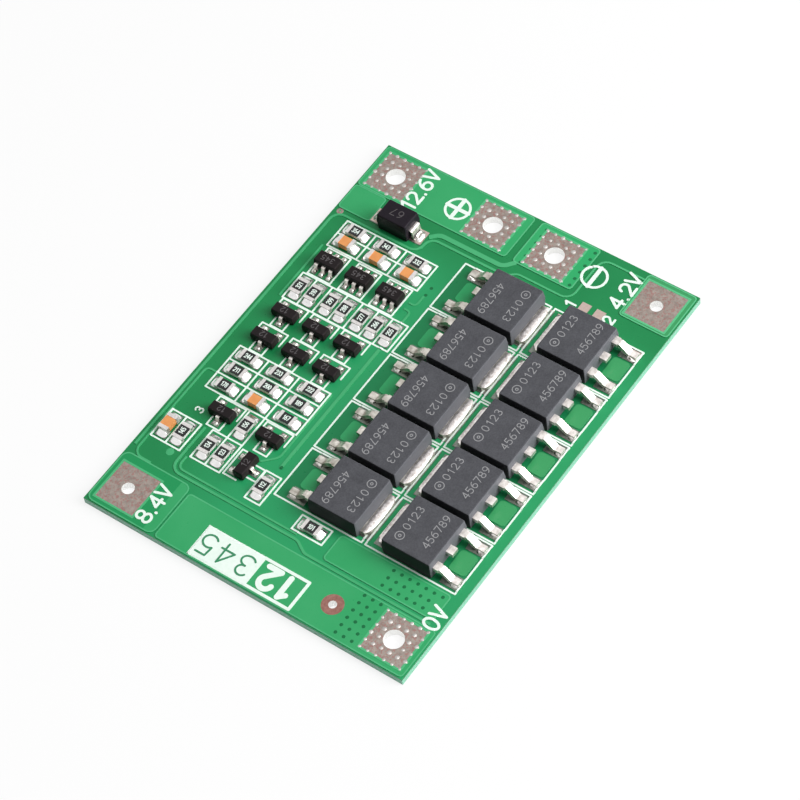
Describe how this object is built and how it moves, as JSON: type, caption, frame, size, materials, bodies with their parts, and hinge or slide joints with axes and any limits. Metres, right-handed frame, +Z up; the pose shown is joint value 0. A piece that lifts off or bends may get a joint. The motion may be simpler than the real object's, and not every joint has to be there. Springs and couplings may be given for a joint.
{
  "type": "battery management board",
  "caption": "Battery management board that protects and balances a small lithium pack, with rows of power transistors, monitor chips and plated wire holes along its edges.",
  "frame": {"origin": "centre of the board's underside", "axes": "+X along the long side towards the output terminals, +Y towards the balancing circuits, +Z up out of the component side"},
  "size_m": [0.054, 0.0402, 0.0033],
  "materials": {
    "board_laminate": "green solder mask over glass-fibre laminate",
    "solder_mask": "green solder mask over copper",
    "tinned_copper": "dull hot-air tinned copper",
    "solder": "bright reflowed solder",
    "tinned_lead": "matte tin plate",
    "moulding_compound": "fine-grained black moulding",
    "resistor_glaze": "black glaze on white ceramic",
    "capacitor_ceramic": "fired ceramic"
  },
  "bodies": {
    "root": {"circuit_board": "board_laminate", "pack_plus_terminal": "tinned_copper", "output_plus_terminal": "tinned_copper", "output_minus_terminal": "tinned_copper", "pack_minus_terminal": "tinned_copper", "cell_one_tap_terminal": "tinned_copper", "cell_two_tap_terminal": "tinned_copper", "sense_eyelet": "tinned_copper", "via_plugs": "solder", "solder_lands": "solder", "chip_solder_joints": "solder", "transistor_solder_joints": "solder", "copper_pours": "solder_mask", "copper_tracks": "solder_mask", "power_transistor_body_1": "moulding_compound", "power_transistor_body_2": "moulding_compound", "power_transistor_body_3": "moulding_compound", "power_transistor_body_4": "moulding_compound", "power_transistor_body_5": "moulding_compound", "power_transistor_body_6": "moulding_compound", "power_transistor_body_7": "moulding_compound", "power_transistor_body_8": "moulding_compound", "power_transistor_body_9": "moulding_compound", "power_transistor_body_10": "moulding_compound", "diode_body": "moulding_compound", "monitor_chip_body_1": "moulding_compound", "monitor_chip_body_2": "moulding_compound", "monitor_chip_body_3": "moulding_compound", "transistor_body_1": "moulding_compound", "transistor_body_2": "moulding_compound", "transistor_body_3": "moulding_compound", "transistor_body_4": "moulding_compound", "transistor_body_5": "moulding_compound", "transistor_body_6": "moulding_compound", "transistor_body_7": "moulding_compound", "transistor_body_8": "moulding_compound", "transistor_body_9": "moulding_compound", "power_transistor_frame_1": "tinned_lead", "power_transistor_frame_2": "tinned_lead", "power_transistor_frame_3": "tinned_lead", "power_transistor_frame_4": "tinned_lead", "power_transistor_frame_5": "tinned_lead", "power_transistor_frame_6": "tinned_lead", "power_transistor_frame_7": "tinned_lead", "power_transistor_frame_8": "tinned_lead", "power_transistor_frame_9": "tinned_lead", "power_transistor_frame_10": "tinned_lead", "monitor_chip_leads": "tinned_lead", "transistor_leads": "tinned_lead", "diode_leads": "tinned_lead", "resistor_end_caps": "tinned_lead", "capacitor_end_caps": "tinned_lead", "resistor_cores": "resistor_glaze", "capacitor_cores": "capacitor_ceramic"}
  },
  "joints": []
}
